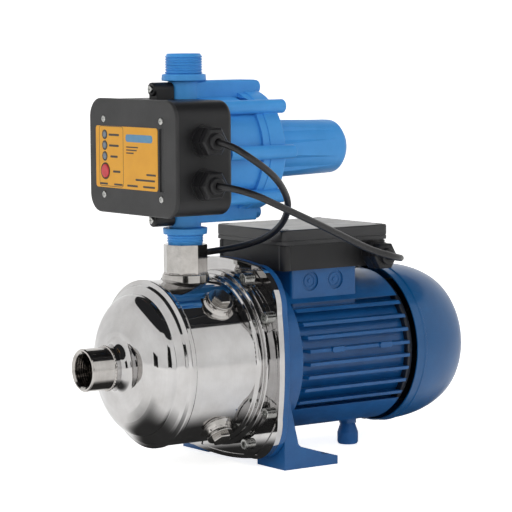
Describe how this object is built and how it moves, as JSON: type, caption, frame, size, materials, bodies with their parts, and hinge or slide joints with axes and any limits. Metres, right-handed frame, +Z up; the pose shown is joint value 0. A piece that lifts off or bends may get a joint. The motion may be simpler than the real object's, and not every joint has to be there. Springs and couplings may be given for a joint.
{
  "type": "shallow well jet pump",
  "caption": "Self-priming shallow well jet pump with polished casing, finned motor, terminal box and an electronic flow controller on the outlet.",
  "frame": {"origin": "on the floor under the shaft, midway between the two foot bolt holes", "axes": "+X along the shaft towards the fan cover, suction_port at -X, +Z up"},
  "size_m": [0.3866, 0.2991, 0.3653],
  "materials": {
    "polished_sheet": "mirror polished stainless sheet",
    "satin_steel": "machined stainless steel",
    "zinc_screw": "bright zinc plated steel",
    "seal_rubber": "moulded nitrile rubber",
    "hydraulic_plastic": "glass filled moulding",
    "seal_ceramic": "lapped alumina",
    "lamination": "stacked electrical steel",
    "copper_winding": "varnished copper wire",
    "blue_enamel": "glossy blue enamel on casting",
    "blue_enamel_sheet": "glossy blue enamel on drawn sheet",
    "blue_plastic": "blue moulded plastic",
    "black_enamel": "dark enamel on casting",
    "black_plastic": "satin black moulding",
    "white_plastic": "white moulding",
    "sky_blue_plastic": "satin light blue moulding",
    "charcoal_plastic": "fine textured charcoal moulding",
    "amber_film": "printed amber film",
    "smoked_lens": "smoked clear moulding",
    "red_rubber": "moulded red silicone",
    "green_laminate": "solder masked glass laminate",
    "cable_jacket": "smooth black cable jacket"
  },
  "bodies": {
    "pump": {"casing_shell": "polished_sheet", "suction_socket": "polished_sheet", "discharge_socket": "satin_steel", "casing_bosses": "polished_sheet", "casing_bolts": "zinc_screw", "casing_seal": "seal_rubber", "nozzle": "hydraulic_plastic", "ejector": "hydraulic_plastic", "diffuser": "hydraulic_plastic", "seal_seat": "seal_ceramic", "seal_plate": "polished_sheet", "ball_bearings": "satin_steel", "stator_core": "lamination", "windings": "copper_winding", "bracket": "blue_enamel", "motor_frame": "blue_enamel", "rear_foot": "blue_plastic", "tie_bolts": "zinc_screw", "rear_shield": "black_enamel", "fan_cover": "blue_enamel_sheet", "fan_cover_screws": "zinc_screw", "terminal_base": "black_plastic", "lid_gasket": "seal_rubber", "terminal_lid": "black_plastic", "terminal_screws": "zinc_screw", "capacitor": "white_plastic", "terminal_block": "white_plastic", "terminal_gland": "black_plastic", "valve_body": "sky_blue_plastic", "valve_cap": "sky_blue_plastic", "valve_cap_screws": "zinc_screw", "diaphragm": "seal_rubber", "diaphragm_spring": "satin_steel", "electronics_housing": "black_plastic", "front_plate": "charcoal_plastic", "label": "amber_film", "plate_screws": "zinc_screw", "indicator_lenses": "smoked_lens", "lug_screws": "zinc_screw", "circuit_board": "green_laminate", "controller_glands": "black_plastic", "motor_lead": "cable_jacket", "supply_lead": "cable_jacket", "supply_coil": "cable_jacket", "supply_plug": "black_plastic"},
    "rotor": {"shaft": "satin_steel", "rotor_core": "lamination", "impeller": "hydraulic_plastic", "impeller_nut": "satin_steel", "seal_head": "seal_rubber", "seal_spring": "satin_steel", "slinger": "seal_rubber", "fan": "black_plastic"},
    "button": {"restart_button": "red_rubber"},
    "fill": {"fill_plug": "satin_steel", "fill_plug_seal": "seal_rubber"},
    "drain": {"drain_plug": "satin_steel", "drain_plug_seal": "seal_rubber"},
    "piston": {"flow_piston": "white_plastic"}
  },
  "joints": [
    {"name": "rotor_spin", "type": "hinge", "parent": "pump", "child": "rotor", "pos_m": [0, 0, 0.0934], "axis": [1, 0, 0], "continuous": true},
    {"name": "button_press", "type": "slide", "parent": "pump", "child": "button", "axis": [1, 0, 0], "range_m": [0, 0.0014], "stiffness_N_per_m": 1500, "springref_m": -0.0004},
    {"name": "fill_plug_unscrew", "type": "slide", "parent": "pump", "child": "fill", "axis": [0, -0.682, 0.7314], "range_m": [0, 0.02]},
    {"name": "drain_plug_unscrew", "type": "slide", "parent": "pump", "child": "drain", "axis": [0, -0.6561, -0.7547], "range_m": [0, 0.02]},
    {"name": "flow_piston_lift", "type": "slide", "parent": "pump", "child": "piston", "axis": [0, 0, 1], "range_m": [0, 0.012], "stiffness_N_per_m": 40, "springref_m": -0.002}
  ]
}
